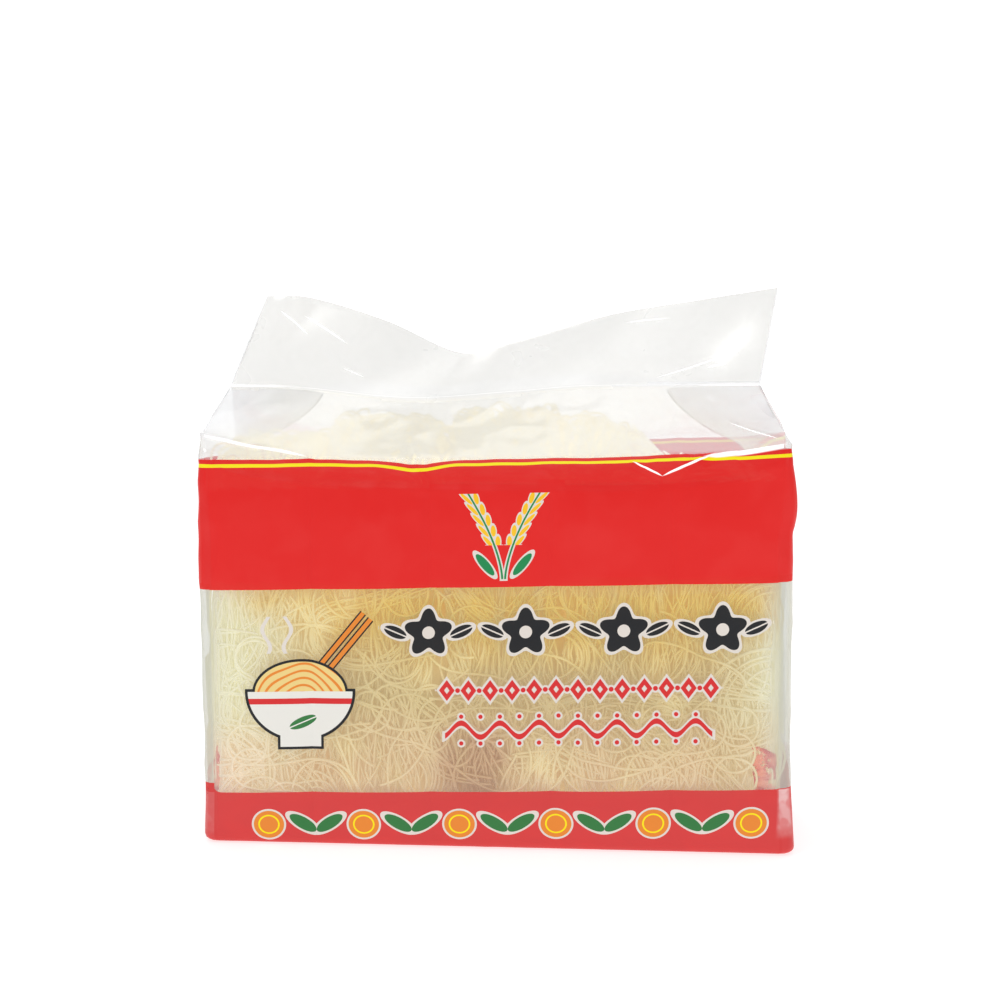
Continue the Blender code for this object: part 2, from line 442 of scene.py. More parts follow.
wrinkleMake = {        # heights in metres
    "under": 0.0002,
    "body": (0.0004, 0.00012, 0.00005),        # broad, fine and small waves
    "onSides": 0.0005,        # more of the fine ones
    "nearTop": 0.0002,
    "shoulder": (0.0006, 0.0004, 0.0001),
    "crinkle": 0.0002,
    "fin": 0.0007,
    "foldWhite": (0.74, 0.94),        # painted glint along the line where the fin is folded: in the middle, and at both ends
    "foldFade": 3.0,        # mm
    "finTall": 40.0,
    "shoulderTall": 48.0,
    "whiteRows": (34.0, 40.0, 98.0, 104.0),        # mm up the front, where its edges have painted glints on white creases
}


def wrinkle(place, placeOf, spot, amount, q):        # how far the film stands proud, and how much painted glint it has, partly stress whitening
    m = wrinkleMake
    x, y, z = place
    across, deep, _ = spot
    if placeOf is finPlace:        # both layers bend alike
        y = 0.0
    broad = noise.noise(Vector((x * 30, y * 30, z * 22)))
    fine = ridged(Vector((x * 62 + 9, y * 70, z * 48))) - 0.7
    small = noise.noise(Vector((x * 150, y * 150 + 4, z * 130)))
    crinkle = ridged(Vector((x * 34 + z * 22, y * 40 + 3, z * 46 - x * 12)))
    gate = eased(0.05, 0.45, noise.noise(Vector((x * 16 + 5, y * 14, z * 18))))
    near = max(0.0, (crinkle - 0.6) / 0.4) * gate
    foldLine = mix(*m["foldWhite"], eased(0.70, 0.90, abs(across)))
    if placeOf in (underPlace, edgePlace):
        return m["under"] * small * amount, 0.0
    if placeOf is bodyPlace:
        side = 1.0 if abs(across) == 1.0 else eased(0.90, 1.0, abs(across))
        sizes = m["body"]
        middling = sizes[1] + m["onSides"] * side + m["nearTop"] * eased(0.75, 1.0, amount)
        out = eased(0.0, 0.12, amount) * (sizes[0] * broad + middling * fine + sizes[2] * small)
        low1, low2, high1, high2 = m["whiteRows"]
        whiteGlint = near * side * (abs(across) < 1.0) * eased(low1, low2, q) * (1.0 - eased(high1, high2, q))
    elif placeOf is finPlace:
        out = -deep * eased(0.0, 0.15, amount) * m["fin"] * broad
        whiteGlint = (1.0 - amount * m["finTall"] / m["foldFade"]) * foldLine
    else:
        upper = placeOf is shoulderPlace
        fade = 1.0 - eased(0.75, 1.0, amount) if upper else 1.0
        sizes = m["shoulder"]
        out = (sizes[0] * broad + sizes[1] * fine) * fade + sizes[2] * small + m["crinkle"] * near
        whiteGlint = (1.0 - (1.0 - amount) * m["shoulderTall"] / m["foldFade"]) * foldLine if upper else 0.0
    if deep == -1.0 and placeOf in (bodyPlace, creasePlace, shoulderPlace):
        for start, end, depth, width, _ in frontCreases:
            out += depth * mm * max(0.0, 1.0 - distanceToLine(x / mm, q, start, end) / width)
    return out, held(0.0, 1.0, whiteGlint)


# The finishes of the film, and where each is used: faces take the first one whose patch holds them
printPatches = (        # finish, panel, x range and q range in mm; q runs up the film
    ("solidLow", "side", (900, 1100), (-99, 20)),
    ("solidRed", "side", (900, 1100), (113, 157)),
    ("bands", "side", (900, 1100), (20, 32)),
    ("bands", "side", (900, 1100), (106, 168)),
    ("border", "face", (-115, 118), (-99, 22)),
    ("bands", "face", (-130, 130), (-99, 30)),
    ("rows", "face", (-28, 100), (42, 76)),
    ("bowl", "face", (-108, -46), (40, 104)),
    ("blossoms", "face", (-50, 120), (76, 106)),
    ("sprig", "face", (-18, 30), (111.5, 153)),
    ("solidRed", "face", (-130, 130), (113, 152)),
    ("bands", "face", (-130, 130), (106, 168)),
    ("clearTop", "face", (-130, 130), (165, 212)),
    ("clearFin", "face", (-130, 130), (165, 400)),
    ("clearGusset", "side", (900, 1100), (165, 400)),
    ("clearSide", "side", (900, 1100), (-99, 400)),
    ("clearWindow", "face", (-130, 130), (-99, 400)),
)
filmFinishes = ("clearWindow", "clearSide", "clearTop", "clearFin", "clearGusset", "bands", "solidRed",
                "solidLow", "border", "rows", "bowl", "blossoms", "sprig")


def finishAt(panel, x, q):
    for name, where, (xLow, xHigh), (qLow, qHigh) in printPatches:
        if where == panel and xLow <= x < xHigh and qLow <= q < qHigh:
            return filmFinishes.index(name)
    return 0


def printSpot(x, y, height, part):        # print coordinates in metres: across the panel, up the film
    q = height - filmMake["printSlant"] * x
    return {"front": x, "back": -x, "side": y + 1.0}[part], q


spots = ringSpots()
levels = filmLevels()
places = [[placeOf(spot, amount) for spot in spots] for placeOf, amount in levels]
xs = [place[0] for row in places for place in row]
ys = [place[1] for row in places for place in row]
bagShift = Vector((
    (bagLow.x + bagHigh.x) / 2 - (min(xs) + max(xs)) / 2,
    (bagLow.y + bagHigh.y) / 2 - (min(ys) + max(ys)) / 2,
    0.0,
))
print("bag shift", [round(v, 5) for v in bagShift])


def makeFilm():
    count, rows = len(spots), len(levels)
    heights = [[0.0] * count for _ in levels]        # how far each point lies up the film
    for row in range(1, rows):
        for k in range(count):
            step = math.dist(places[row][k], places[row - 1][k])
            below = heights[row - 1][k]
            upright = levels[row][0] in (underPlace, edgePlace, bodyPlace)
            heights[row][k] = places[row][k][2] if upright else below + step
    shape = bmesh.new()
    bmesh.ops.create_grid(shape, x_segments=count, y_segments=rows - 1, size=1.0)
    uvLayer = shape.loops.layers.uv.new("print")
    # painted glints on white creases, partly stress whitening
    whiteGlintLayer = shape.verts.layers.float.new("whitened")
    cutLayer = shape.verts.layers.float.new("cut")
    address = {}
    for vert in shape.verts:
        k = round((vert.co.x + 1) / 2 * count)
        row = round((vert.co.y + 1) / 2 * (rows - 1))
        address[vert] = (k, row)
        vert.co = places[row][k % count]
    columnsEnd = filmMake["halfSideSteps"] + filmMake["cornerSteps"]
    for face in shape.faces:
        middle = sum(address[v][0] for v in face.verts) / 4
        if columnsEnd < middle < columnsEnd + filmMake["columns"]:
            part = "front"
        elif count - columnsEnd - filmMake["columns"] < middle < count - columnsEnd:
            part = "back"
        else:
            part = "side"
        for loop in face.loops:
            k, row = address[loop.vert]
            x, y, _ = places[row][k % count]
            loop[uvLayer].uv = printSpot(x, y, heights[row][k % count], part)
        middleX = sum(loop[uvLayer].uv.x for loop in face.loops) / 4 / mm
        middleQ = sum(loop[uvLayer].uv.y for loop in face.loops) / 4 / mm
        face.material_index = finishAt("side" if part == "side" else "face", middleX, middleQ)
    shape.normal_update()
    outward = 1.0 if sum(v.normal.y for v in shape.verts if v.co.y < -0.04) < 0 else -1.0
    moved = []
    for vert, (k, row) in address.items():
        placeOf, amount = levels[row]
        place = places[row][k % count]
        q = printSpot(*place[:2], heights[row][k % count], "front")[1] / mm
        move, vert[whiteGlintLayer] = wrinkle(place, placeOf, spots[k % count], amount, q)
        if 0 < row < rows - 1 and 0 < k < count:        # both ends of a row share their place, so they stay
            moved.append((vert, vert.normal * outward * move))
    for vert, shift in moved:
        vert.co += shift
    closeTop(shape, address, count, rows, cutLayer)
    bmesh.ops.remove_doubles(shape, verts=shape.verts[:], dist=0.00001)
    bmesh.ops.recalc_face_normals(shape, faces=shape.faces[:])
    for edge in shape.edges:        # the cut edge stays sharp, so that it doesn't shade dark
        if all(vert[cutLayer] > 0.5 for vert in edge.verts):
            edge.smooth = False
    for face in shape.faces:
        face.smooth = True
    return meshFrom(shape, "bag_film")


def closeTop(shape, address, count, rows, cutLayer):        # draws front and back together along the cut edge
    top = {}
    for vert, (k, row) in address.items():
        if row == rows - 1:
            top.setdefault(k % count, []).append(vert)
            vert[cutLayer] = 1.0
    for k, verts in top.items():
        other = (count - k) % count
        if k <= other:
            middle = (verts[0].co + top[other][0].co) / 2
            for vert in verts + top[other]:
                vert.co = middle


# The film's finish

printColours = {
    "red": (0.80, 0.011, 0.009),
    "redPale": (0.86, 0.050, 0.045),
    # painted shade: the low band's red is darker, as less light falls low on the bag
    "lowRed": (0.70, 0.048, 0.048),
    "yellow": (1.0, 0.86, 0.0),
    "pale": (0.80, 0.74, 0.68),
    "ink": (0.004, 0.007, 0.013),
    "scarlet": (0.72, 0.020, 0.025),
    "bowl": (0.86, 0.85, 0.80),
    "noodle": (0.90, 0.68, 0.26),
    "orange": (0.85, 0.26, 0.03),
    "leaf": (0.03, 0.20, 0.05),
    "clear": (0.93, 0.935, 0.94),
    # painted shade: the film over the top faces the top lamp, so its haze is painted a little greyer
    "overTop": (0.90, 0.907, 0.92),
    "fin": (0.945, 0.94, 0.915),
    # painted shade: the film is greyer where it rounds away at the corners
    "edge": (0.63, 0.64, 0.58),
    "green": (0.01, 0.26, 0.08),
    "gold": (1.0, 0.58, 0.02),
}
bandPlaces = {        # mm up the film
    "top": 164.3,
    "lineTop": 162.4,
    "lineLow": 160.9,
    "low": 110.2,
    "bottom": 24.9,
}


def disc(x, q, cx, cq, rx, rq):        # below 1 inside an ellipse
    return ((x - cx) / rx) ** 2 + ((q - cq) / rq) ** 2


def turned(x, q, cx, cq, angle):
    c, s = math.cos(math.radians(angle)), math.sin(math.radians(angle))
    dx, dq = x - cx, q - cq
    return dx * c + dq * s, dq * c - dx * s


def between(value, low, high):
    return (value > low) * (value < high)


def bandMasks(x, q):
    hollow = 0 - ((x + 30) / 11) ** 2
    top = q + 3.0 * hollow.maths("EXPONENT", hollow)
    band = (q > bandPlaces["low"]) * (top < bandPlaces["top"])
    return (
        (band, "red"),
        (between(top, bandPlaces["lineLow"], bandPlaces["lineTop"]), "yellow"),
        (q < bandPlaces["bottom"], "lowRed"),
    )


def blossomMasks(x, q):        # dark blossoms with a pair of leaves each, pale edge
    inRow = between(x, -46, 115)
    cell = (x - 14.5).repeat(40.0)
    up = q - 91.5
    away = (cell**2 + up**2) ** 0.5
    turn = cell.maths("ARCTAN2", cell, up) * 5
    petals = 8.2 + 1.9 * turn.maths("COSINE", turn)
    leafX, leafQ = turned(cell.size(), up, 13.6, 0.6, 24)
    leafGap = disc(leafX, leafQ, 0, 0, 1, 0.46) ** 0.5
    dark = ((away < petals) * (away > 2.6)).either((leafGap < 4.9) * (leafQ.size() > 0.28))
    pale = (away < petals + 1.5).either(leafGap < 6.6)
    return (pale * inRow, "pale"), (dark * inRow, "ink")


def rowMasks(x, q):        # a row of lozenges over a waved line with dots, both with a pale edge
    cell = (x + 18).repeat(9.0)
    across = cell.size() / 3.3 + (q - 67.5).size() / 4.4
    dot = disc((x + 13.5).repeat(9.0), q, 0, 67.5, 1.0, 1.0)
    inTop, inDots = between(x, -23, 95), between(x, -16, 88)
    lozenge = ((across < 1.0) * (across > 0.34) * inTop).either((dot < 1.0) * inDots)
    lozengeEdge = ((across < 1.36) * inTop).either((dot < 3.2) * inDots)
    wave = (q - 51.0 - 2.9 * (x * (2 * math.pi / 16)).sine()).size()
    bead = disc((x - 4).repeat(8.0), (q - 51.0).size(), 0, 5.6, 0.9, 0.9)
    inBeads = between(x, -15, 87)
    line = ((wave < 1.15) * between(x, -18.8, 90.8)).either((bead < 1.0) * inBeads)
    lineEdge = ((wave < 2.2) * between(x, -20, 92)).either((bead < 3.6) * inBeads)
    return (lozengeEdge.either(lineEdge), "pale"), (lozenge.either(line), "scarlet")


def sprigMasks(x, q):        # two ears of rice in the middle of the red band
    up = (q - 113.5) / 35.0
    stem = (x - 5.5).size() - 14.0 * up.either(0.0) ** 1.6 - 0.6
    slant = (q - 113.5 - stem.size() * 1.1).repeat(4.4)
    grain = disc(stem.size(), slant, 2.0, 0, 1.35, 1.75)
    inEar = between(up, 0.40, 1.0)
    leaf = disc(*turned((x - 5.5).size(), q, 7.6, 119.5, 50), 0, 0, 5.6, 1.7)
    stalk = ((stem.size() < 0.42) * between(up, 0.0, 1.0)).either(leaf < 1.0)
    edge = ((grain < 2.0) * inEar).either(leaf < 1.8).either((stem.size() < 1.0) * between(up, -0.02, 1.0))
    return (edge, "pale"), (stalk, "green"), ((grain < 1.0) * inEar, "gold")


def bowlMasks(x, q):        # a bowl of noodles with chopsticks, left in the window
    cx = -79.0
    body = (disc(x, q, cx, 67.5, 22.0, 20.0) < 1.0) * (q < 67.5)
    bowl = body.either(between(q, 44.2, 49.0) * ((x - cx).size() < 8.5))
    heap = (disc(x, q, cx, 67.0, 19.0, 13.0) < 1.0) * (q > 67.5)
    whole = (disc(x, q, cx, 67.5, 23.2, 21.2) < 1.0) * (q < 68.7)
    edge = whole.either(between(q, 43.1, 50.0) * ((x - cx).size() < 9.6))
    edge = edge.either((disc(x, q, cx, 67.0, 20.1, 14.1) < 1.0) * (q > 66.0))
    strands = (disc(x, q, cx, 60.0, 1.0, 1.0) ** 0.5 * 2.1 + (x * 0.35).sine() * 1.2).sine() > 0.55
    leafX, leafQ = turned(x, q, cx + 1, 54.5, 22)
    leaf = (disc(leafX, leafQ, 0, 0, 6.0, 2.2) < 1.0) * (leafQ.size() > 0.25)
    lengthwise, sideways = turned(x, q, -70.0, 76.0, 50)
    gap = (sideways.size() - 2.0).size()
    reach = between(lengthwise, -2.0, 30.0)
    steam = ((x + 88.5).size() - 4.4 - 1.6 * (q * 0.42).sine()).size()
    return (
        ((gap < 1.5) * reach, "ink"), ((gap < 0.9) * reach, "orange"),
        ((steam < 0.85) * between(q, 83.5, 99.0), "pale"),
        (edge, "ink"), (bowl, "bowl"), (heap, "noodle"), (strands * heap, "orange"),
        (between(q, 62.2, 64.6) * body, "scarlet"), (leaf, "leaf"),
    )


def borderMasks(x, q):        # rounds and leaf pairs in the bottom band, by turns
    inRounds, inLeaves = between(x, -102, 116), between(x, -90, 104)
    slice1 = disc((x + 93).repeat(40.0), q, 0, 11.0, 6.4, 6.0)
    leafX, leafQ = turned((x + 73).repeat(40.0).size(), q, 5.6, 11.5, 32)
    leafGap = disc(leafX, leafQ, 0, 0, 6.4, 2.5)
    return (
        (((slice1 < 1.28) * inRounds).either((leafGap < 1.75) * inLeaves), "pale"),
        ((slice1 < 1.0) * inRounds, "orange"),
        (between(slice1, 0.36, 0.50) * inRounds, "yellow"),
        ((leafGap < 1.0) * inLeaves, "leaf"),
    )


filmLooks = {        # print masks, whole ground if any, and haze of the clear film
    "clearWindow": (None, None, 0.03),
    "clearSide": (None, None, 0.06),
    "clearTop": (None, None, 0.36),
    "clearFin": (None, None, 0.42),
    "clearGusset": (None, None, 0.30),
    "bands": (bandMasks, None, 0.05),
    "solidRed": (None, "red", 0.0),
    "solidLow": (None, "lowRed", 0.0),
    "border": (borderMasks, "lowRed", 0.0),
    "rows": (rowMasks, None, 0.03),
    "bowl": (bowlMasks, None, 0.03),
    "blossoms": (blossomMasks, None, 0.03),
    "sprig": (sprigMasks, "red", 0.0),
}


filmSkin = {        # lengths in mm of the print
    "uneven": 0.16,            # share of the paler red
    "cornerLift": 3.6,         # how far the low band rises to the front's left corner
    "doubledTone": (0.93, 0.62, 0.61),
    "creaseTone": (0.95, 0.95, 0.95),
    "creaseGlow": 0.3,         # painted glint: a white crease glows as if it catches the light
    "gleam": 0.75,
    "specular": 0.3,
    "inkCover": 0.985,
    "tint": (0.985, 0.986, 0.988),
}


def glintLines(x, q, lines):        # painted glint lines, partly stress whitening, narrowing to both ends
    whiteGlint = x * 0
    for (x1, q1), (x2, q2), *_, wide in lines:
        if wide:
            fromMiddle = x - (x1 + x2) / 2
            away = fromMiddle / ((x2 - x1) / 2)
            gap = (q - (q1 + q2) / 2 - (q2 - q1) / (x2 - x1) * fromMiddle).size()
            whiteGlint = whiteGlint.either(1 - (gap + wide * away**4).rise(0.5 * wide, wide))
    return whiteGlint


def inked(grain, tone):        # the reds are a little uneven
    c = printColours
    if tone in ("red", "lowRed"):
        return (grain.rise(0.40, 0.75) * filmSkin["uneven"]).blend(c[tone], c["redPale"])
    return c[tone]


def printOver(colour, masks, grain):        # also gives where there is ink
    ink = None
    for mask, tone in masks:
        colour = mask.blend(colour, inked(grain, tone))
        ink = ink.either(mask) if ink else mask
    return colour, ink


def doubledFilm(where, x, q, beside, right):        # the film is folded double at the low right corner
    fold = (x.size() - 1.2 * (q / 12).sine()).rise(116.0, 118.5) * (x < 500)
    fold = fold.either(beside.rise(38.0, 41.0) * (x > 500)) * q.rise(3.0, 10.0) * (q < 24.5)
    uneven = 0.5 + 0.5 * where.noise(150.0).rise(0.40, 0.60)
    return fold * (0.25 + 0.75 * right) * uneven * (0.62 + 0.26 * q.rise(15.0, 23.0))


def makeFilmFinish(name):        # the side panels' x in the print starts at 900
    s, c = filmSkin, printColours
    masksOf, ground, hazeHere = filmLooks[name]
    material, w, where = newFinish("film_" + name)
    across, y, _ = where.split()
    printX, printQ, _ = w.node("ShaderNodeUVMap", {"uv_map": "print"}).split()
    x, q = printX * 1000, printQ * 1000
    onFace, onSide, right, front = x < 500, x > 500, across > 0, y < 0
    beside = (x - 1000).size()        # on the side panels, how far from the middle
    grain = where.noise(60.0, 2.0, 0.5, 0.5)
    # painted glints on white creases and gleams, partly stress whitening
    whiteGlint = w.node("ShaderNodeAttribute", {"attribute_name": "whitened"}, None, 2).rise(0.66, 0.88)
    if name in ("bands", "clearTop"):
        whiteGlint = whiteGlint.either(glintLines(x, q, frontCreases) * front)
    if name == "clearFin":        # on the front x and the print's x have the same sign
        whiteGlint = whiteGlint.either(glintLines(x, q, finGleams) * (x * across > 0) * s["gleam"])
    # painted shade: the film over the top and on the gussets takes the greyer overTop haze
    clear = {"clearTop": "overTop", "clearGusset": "overTop", "clearFin": "fin"}.get(name, "clear")
    height = q
    if name == "bands":
        corner = (0 - x).rise(113.0, 121.0) * onFace + (970 - x).rise(0.0, 10.0) * onSide
        height = q - s["cornerLift"] * corner * (q < 60) * (1 - right)
    masks = masksOf(x, height) if masksOf else ()
    colour, ink = printOver(inked(grain, ground or clear), masks, grain)
    if name in ("bands", "border", "solidLow"):
        colour = doubledFilm(where, x, q, beside, right).blend(colour, s["doubledTone"])
    milky = name in ("clearWindow", "clearSide", "rows", "bowl", "blossoms", "bands")
    edge = x.size().rise(107.0, 121.0) * onFace + beside.rise(30.0, 42.0) * onSide        # near the corners
    if name == "bands":
        edge = edge * (1 - q.rise(112.0, 120.0))
        # painted shade: above the yellow line the film takes the greyer overTop haze
        colour = (q.rise(161.0, 167.0) * (1 - ink)).blend(colour, c["overTop"])
    if milky:
        # painted shade: the film turns greyer near the corners
        colour = (edge * (1 - ink) if ink else edge).blend(colour, c["edge"])
    # the glint marks are painted white and glow: painted highlights
    sockets = {
        "Base Color": whiteGlint.blend(colour, s["creaseTone"]),
        "Normal": grain.bump(0.25, 0.0007),
        "Specular IOR Level": s["specular"],
        "Emission Color": whiteGlint.blend((0.0, 0.0, 0.0), (1.0, 1.0, 1.0)),
        "Emission Strength": s["creaseGlow"],
    }
    if ground:
        sockets["Roughness"] = 0.34 + 0.10 * grain
        closeFinish(w, sockets)
        return material
    gloss = 0.06 + 0.60 * w.node("ShaderNodeLayerWeight", None, {"Blend": 0.5}, 1) ** 4
    haze = hazeHere * (0.85 + 0.3 * grain) + 0.55 * whiteGlint
    rough = (0.24 if name == "clearFin" else 0.10) + 0.10 * grain
    backBand = 0.10 * x.rise(48.0, 62.0) * front        # milkier at the right, where the back's band shows
    if milky:
        haze = haze + (0.42 + 0.10 * onSide) * edge
        rough = rough + 0.25 * edge
    if name == "clearTop":
        haze = haze + backBand * (1 - q.rise(172.0, 186.0))
    if name == "bands":
        haze = haze + q.rise(161.0, 167.0) * (0.31 + backBand)
    cover = gloss + haze
    sockets["Metallic"] = gloss / cover
    if ink:
        sockets["Metallic"] = (1 - ink) * sockets["Metallic"]
        rough = rough + 0.24 * ink
        cover = ink * s["inkCover"] + (1 - ink) * cover
    sockets["Roughness"] = rough
    closeFinish(w, sockets, cover.nearest(1.0), s["tint"])
    return material


# The noodles

noodleMake = {
    "seed": 41,
    "strand": 0.00052,         # half the thickness of a strand
    "centres": (-0.0945, -0.0475, 0.0035, 0.0525, 0.0960),
    "widths": (0.0440, 0.0465, 0.0460, 0.0440, 0.0430),
    "tops": (0.160, 0.160, 0.161, 0.160, 0.149),
    "domes": (0.005, 0.013, 0.015, 0.013, 0.003),
    "deep": 0.0390,            # half the depth of a bundle
    "low": 0.003,
    "under": 105,              # long strands that run up one face, over the top and down the other
    "locks": 8,                # locks of strands on each face
    "curls": 5,                # single curls on each face
    "topLoops": 60,
    "ends": 60,                # strands on the outer face of the first and last bundle
    "endFace": 0.1158,         # how far out that face is
    "faceReach": 0.1155,       # how far the locks go to the sides
    "endReach": 0.036,
    "overBend": 0.016,         # radius with which long strands turn over the top
    "longSteps": 76,
    "endSteps": 40,
    "loopSteps": 22,
    "lockStep": 0.0026,
    "lockBend": (7, 0.04, 110.0),        # how a lock's bend wanders, straightens out, and its tightest
    "turnBack": 0.22,          # radians a step, where a lock comes to the edge of its face
    "settleFrom": 0.14,        # the heap is sunken above this height
    "settle": ((-0.120, 1.0), (0.050, 1.0), (0.074, 0.55), (0.082, 1.0), (0.120, 1.0)),
}


def keptInside(point, margin=0.0016):
    x, y, z = point
    settled = noodleMake["settleFrom"]
    if z > settled:
        z = settled + (z - settled) * along(noodleMake["settle"], x)
    deepest = halfDeep - margin - 0.0026 * eased(0.136, 0.156, z)        # the film rounds in at the top
    y = held(-deepest, deepest, y)
    tuck = tuckAt(z) * (1.0 - abs(y) / halfDeep)
    left = along(bagForm["leftEdge"], z) + tuck + margin
    right = along(bagForm["rightEdge"], z) - tuck - margin
    x = held(left, right, x)
    ridge = along(bagForm["foldBack"], x)
    up = (y + halfDeep) / (ridge + halfDeep) if y < ridge else (halfDeep - y) / (halfDeep - ridge)
    roof = mix(creaseHeight(x), along(bagForm["foldLine"], x), up) - 2 * margin
    return Vector((x, y, max(margin, min(roof, z))))


def overTop(share, top, deep, low):        # a way up the front, over the top and down the back
    bend = noodleMake["overBend"]
    straight = top - bend - low
    flat = 2.0 * (deep - bend)
    arc = bend * math.pi / 2
    way = share * (2 * straight + flat + 2 * arc)
    if way < straight:
        return -deep, low + way, -1.0, 0.0
    way -= straight
    if way < arc:
        outY, outZ = -math.cos(way / bend), math.sin(way / bend)
        return bend - deep + bend * outY, top - bend + bend * outZ, outY, outZ
    way -= arc
    if way < flat:
        return -deep + bend + way, top, 0.0, 1.0
    way -= flat
    if way < arc:
        outY, outZ = math.sin(way / bend), math.cos(way / bend)
        return deep - bend + bend * outY, top - bend + bend * outZ, outY, outZ
    return deep, top - bend - (way - arc), 1.0, 0.0


def addStrand(curve, points, tone, thick=1.0):
    spline = curve.splines.new("POLY")
    spline.points.add(len(points) - 1)
    for spot, place in zip(spline.points, points):
        spot.co = (*place, 1.0)
        spot.radius = thick
    spline.material_index = tone
    spline.use_smooth = True


def domed(y, z, dome):        # raises what lies on top towards the middle of the bag's depth
    share = max(0.0, 1.0 - (y / noodleMake["deep"]) ** 2)
    return z + dome * share * eased(0.10, 0.15, z)


def longStrands(curve, rng, centre, width, top, dome):
    m = noodleMake
    for index in range(m["under"]):
        home = centre + (index / (m["under"] - 1) - 0.5) * (width - 0.003) + rng.gauss(0, 0.0008)
        waves = [(rng.uniform(0.0006, 0.0024), rng.uniform(60, 210), rng.uniform(0, 6.28)) for _ in range(3)]
        lift = rng.uniform(-0.0010, 0.0012)
        start, stop = rng.uniform(0.0, 0.05), rng.uniform(0.95, 1.0)
        tall = top + rng.uniform(-0.006, 0.002)
        points = []
        for step in range(m["longSteps"]):
            share = mix(start, stop, step / (m["longSteps"] - 1))
            y, z, outY, outZ = overTop(share, tall, m["deep"], m["low"])
            sway = sum(size * math.sin(rate * share * 0.4 + phase) for size, rate, phase in waves)
            out = lift + 0.0008 * math.sin(share * 46 + waves[0][2])
            points.append(keptInside((home + sway, y + outY * out, domed(y, z + outZ * out, dome))))
        addStrand(curve, points, 1 if rng.random() < 0.8 else 0)


def nextBend(rng, bend, wander, straighten, tightest):
    bend += rng.gauss(0, wander) - bend * straighten
    return held(-tightest, tightest, bend)


def lockPath(rng, start, length, centre, width, top):        # a smooth wandering way over a face
    m = noodleMake
    x, z, heading, bend = start
    step = m["lockStep"]
    way = []
    for index in range(int(length / step)):
        bend = nextBend(rng, bend, *m["lockBend"])
        heading += bend * step
        outside = (x - centre) / (width * 0.5)
        if abs(outside) > 0.86:
            heading += math.copysign(m["turnBack"], math.sin(heading) * outside)
        if z < 0.012 or z > top - 0.008:
            heading += math.copysign(m["turnBack"], -math.cos(heading) * (z - 0.05))
        x += math.cos(heading) * step
        z = held(0.005, top - 0.004, z + math.sin(heading) * step)
        way.append((x, z, heading))
    return way


def curlyStrands(curve, rng, centre, width, top, placeOn, widest):        # locks of strands, and single curls
    m = noodleMake
    for lock in range(m["locks"] + m["curls"]):
        single = lock >= m["locks"]
        x = centre + rng.uniform(-0.42, 0.42) * width
        z = rng.uniform(0.010, top - 0.014)
        flat = z < 0.058 or rng.random() < 0.15
        heading = rng.choice((0.0, math.pi)) if flat else rng.choice((-1, 1)) * math.pi / 2
        heading += rng.gauss(0, 0.5)
        length = rng.uniform(0.03, 0.09) if single else rng.uniform(0.07, 0.16)
        bend = rng.gauss(0, 70 if single else 26)
        way = lockPath(rng, (x, z, heading, bend), length, centre, width, top)
        members = 1 if single else rng.randint(3, 6)
        pitch = rng.uniform(0.0013, 0.0026)
        depth = rng.uniform(0.0006, 0.0024)
        for member in range(members):
            shift = (member - (members - 1) / 2) * pitch + rng.gauss(0, 0.0005)
            size, rate, phase = rng.uniform(0.0003, 0.0012), rng.uniform(0.15, 0.34), rng.uniform(0, 6.28)
            first = rng.randint(0, len(way) // 5)
            last = len(way) - rng.randint(0, len(way) // 5)
            limit = widest + rng.uniform(-0.002, 0.003)
            points = []
            for index in range(first, last):
                x, z, heading = way[index]
                off = shift * (1 + 0.4 * math.sin(index * 0.09 + phase))
                off += size * math.sin(rate * index + phase)
                out = depth + 0.0005 * math.sin(index * 0.3 + phase) + 0.0003 * member
                x = held(-limit, limit, x - math.sin(heading) * off)
                points.append(keptInside(placeOn(x, out, z + math.cos(heading) * off)))
            addStrand(curve, points, 0 if rng.random() < 0.35 else 2, 1.15)


def topLoops(curve, rng, centre, width, top, dome):
    m = noodleMake
    for _ in range(m["topLoops"]):
        x = centre + rng.uniform(-0.42, 0.42) * width
        y = rng.uniform(-0.8, 0.8) * m["deep"]
        turn = rng.uniform(0, math.pi)
        radius = rng.uniform(0.003, 0.010)
        leg = rng.uniform(0.008, 0.022)
        peak = top + rng.uniform(-0.004, 0.005)
        lean = rng.gauss(0, 0.35)
        points = []
        for step in range(m["loopSteps"]):
            share = step / (m["loopSteps"] - 1)
            if share < 0.25:
                a, b = -radius, peak - radius - leg * (1 - share / 0.25)
            elif share > 0.75:
                a, b = radius, peak - radius - leg * ((share - 0.75) / 0.25)
            else:
                angle = math.pi * (1 - (share - 0.25) / 0.5)
                a, b = radius * math.cos(angle), peak - radius + radius * math.sin(angle)
            sway = 0.0007 * math.sin(step * 0.9 + turn * 5)
            away = (b - peak) * lean
            points.append(keptInside((
                x + (a + sway) * math.cos(turn) - away * math.sin(turn),
                y + (a + sway) * math.sin(turn) + away * math.cos(turn),
                domed(y, b, dome),
            )))
        addStrand(curve, points, 0)


def faceOf(side):        # places on the front or the back
    return lambda x, out, z: (x, side * (noodleMake["deep"] + out), z)


def endOf(side):        # places on the outer face of the first or last bundle
    return lambda y, out, z: (side * (noodleMake["endFace"] + out), y, z)


def endStrands(curve, rng, side, top):
    m = noodleMake
    for index in range(m["ends"]):
        y = (index / (m["ends"] - 1) - 0.5) * 2 * (m["deep"] - 0.004)
        phase, rate = rng.uniform(0, 6.28), rng.uniform(70, 160)
        out = rng.uniform(m["endFace"], m["endFace"] + 0.0014)
        points = []
        for step in range(m["endSteps"]):
            z = mix(0.005, top - rng.uniform(0.006, 0.007), step / (m["endSteps"] - 1))
            sway = 0.0022 * math.sin(rate * z + phase) + 0.0012 * math.sin(2.3 * rate * z)
            inward = 0.0004 * (1.0 + math.sin(0.7 * rate * z + phase))
            points.append(keptInside((side * (out - inward), y + 1.5 * sway, z)))
        addStrand(curve, points, 1 if rng.random() < 0.5 else 0)
    for _ in range(2):
        curlyStrands(curve, rng, 0.0, 0.076, top, endOf(side), m["endReach"])


